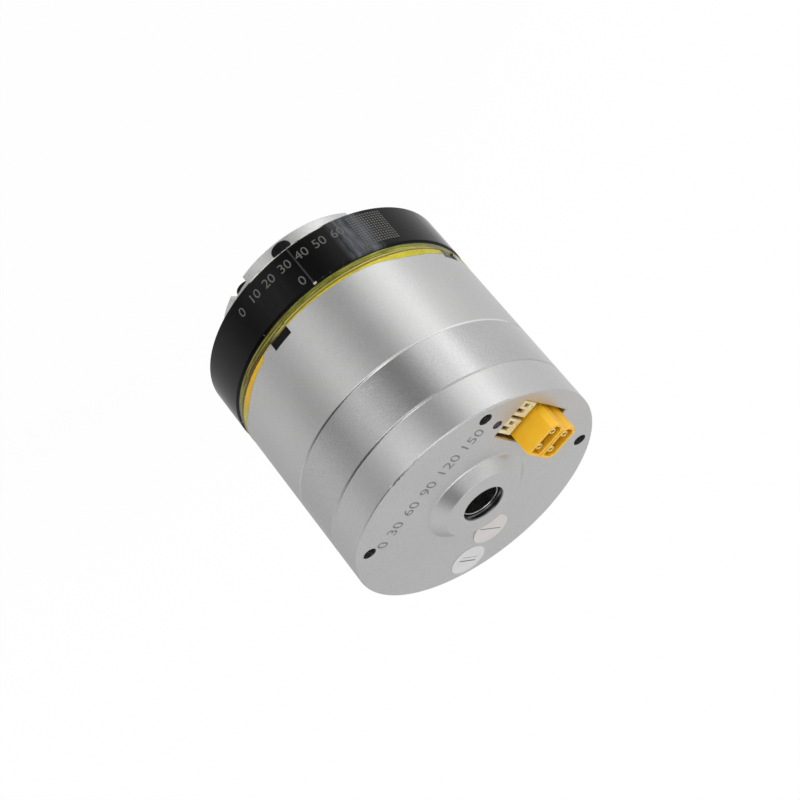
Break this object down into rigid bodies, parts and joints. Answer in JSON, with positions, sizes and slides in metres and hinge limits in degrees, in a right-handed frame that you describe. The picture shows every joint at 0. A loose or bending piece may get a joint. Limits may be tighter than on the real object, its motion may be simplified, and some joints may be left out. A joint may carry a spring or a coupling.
{
  "type": "hollow-shaft robot joint actuator",
  "caption": "Round robot joint actuator with a turning output flange in front, a hollow through tube, and plug-in connectors on its rear cover.",
  "frame": {"origin": "centre of the output flange's front face, on the joint's axis", "axes": "+Z along the joint's axis from the output flange to the rear cover, +X towards the connector pocket in the rear cover"},
  "size_m": [0.07, 0.07, 0.0828],
  "materials": {
    "anodised_silver": "bead-blasted, clear anodised",
    "black_oxide": "black, glossy",
    "hardened_steel": "ground, oiled",
    "shaft_steel": "turned",
    "tube_metal": "polished",
    "screw_black": "black oxide",
    "gasket_yellow": "film, amber yellow",
    "seal_rubber": "matt",
    "magnet_nickel": "nickel plated",
    "core_steel": "laminated",
    "copper_wire": "enamelled wire",
    "lead_sleeve": "insulation",
    "board_green": "solder mask",
    "chip_black": "moulded",
    "connector_amber": "nylon",
    "lens_smoke": "smoked light pipe",
    "header_beige": "nylon",
    "pin_gold": "gold plated",
    "pin_tin": "tin plated"
  },
  "bodies": {
    "housing": {"outer_ring": "black_oxide", "front_seal": "seal_rubber", "flexspline": "hardened_steel", "seam_gasket": "gasket_yellow", "wave_bearing_outer": "hardened_steel", "motor_plate": "black_oxide", "shaft_seal": "seal_rubber", "main_housing": "anodised_silver", "stator_core": "core_steel", "stator_windings": "copper_wire", "phase_leads": "lead_sleeve", "middle_housing": "anodised_silver", "rear_bearing_outer": "hardened_steel", "encoder_board": "board_green", "encoder_chips": "chip_black", "driver_board": "board_green", "driver_parts": "chip_black", "board_link": "chip_black", "rear_cover": "anodised_silver", "indicator_lens": "lens_smoke", "power_connector_a": "connector_amber", "power_connector_b": "connector_amber", "power_pins": "pin_gold", "signal_header_a": "header_beige", "signal_header_b": "header_beige", "signal_pins": "pin_tin", "ring_screws": "screw_black", "middle_screws": "screw_black", "cover_screws": "screw_black", "encoder_screws": "screw_black", "driver_screws": "screw_black"},
    "output": {"output_flange": "anodised_silver", "through_tube": "tube_metal", "bearing_inner_ring": "hardened_steel", "circular_spline": "hardened_steel", "front_bearing_outer": "hardened_steel", "front_bearing_retainer": "shaft_steel", "output_encoder_ring": "magnet_nickel", "output_screws": "screw_black"},
    "rotor": {"rotor_shaft": "shaft_steel", "wave_cam": "hardened_steel", "wave_bearing_inner": "hardened_steel", "front_bearing_inner": "hardened_steel", "rear_bearing_inner": "hardened_steel", "magnet_hub": "shaft_steel", "rotor_magnets": "magnet_nickel", "rotor_encoder_ring": "magnet_nickel"},
    "rollers": {"crossed_rollers": "hardened_steel"},
    "front_balls": {"front_bearing_balls": "hardened_steel"},
    "rear_balls": {"rear_bearing_balls": "hardened_steel"},
    "wave_balls": {"wave_bearing_balls": "hardened_steel"}
  },
  "joints": [
    {"name": "output_turn", "type": "hinge", "parent": "housing", "child": "output", "pos_m": [0, 0, 0], "axis": [0, 0, 1], "continuous": true},
    {"name": "rotor_spin", "type": "hinge", "parent": "housing", "child": "rotor", "pos_m": [0, 0, 0.038], "axis": [0, 0, 1], "continuous": true},
    {"name": "roller_orbit", "type": "hinge", "parent": "housing", "child": "rollers", "pos_m": [0, 0, 0.0182], "axis": [0, 0, 1], "continuous": true},
    {"name": "front_ball_orbit", "type": "hinge", "parent": "housing", "child": "front_balls", "pos_m": [0, 0, 0.0055], "axis": [0, 0, 1], "continuous": true},
    {"name": "rear_ball_orbit", "type": "hinge", "parent": "housing", "child": "rear_balls", "pos_m": [0, 0, 0.0555], "axis": [0, 0, 1], "continuous": true},
    {"name": "wave_ball_orbit", "type": "hinge", "parent": "housing", "child": "wave_balls", "pos_m": [0, 0, 0.0126], "axis": [0, 0, 1], "continuous": true}
  ],
  "couplings": [
    {"joint": "rotor_spin", "follows": "output_turn", "ratio": 101},
    {"joint": "roller_orbit", "follows": "output_turn", "ratio": 0.4841},
    {"joint": "front_ball_orbit", "follows": "output_turn", "ratio": 45.65},
    {"joint": "rear_ball_orbit", "follows": "output_turn", "ratio": 45.1},
    {"joint": "wave_ball_orbit", "follows": "output_turn", "ratio": 47.53}
  ]
}
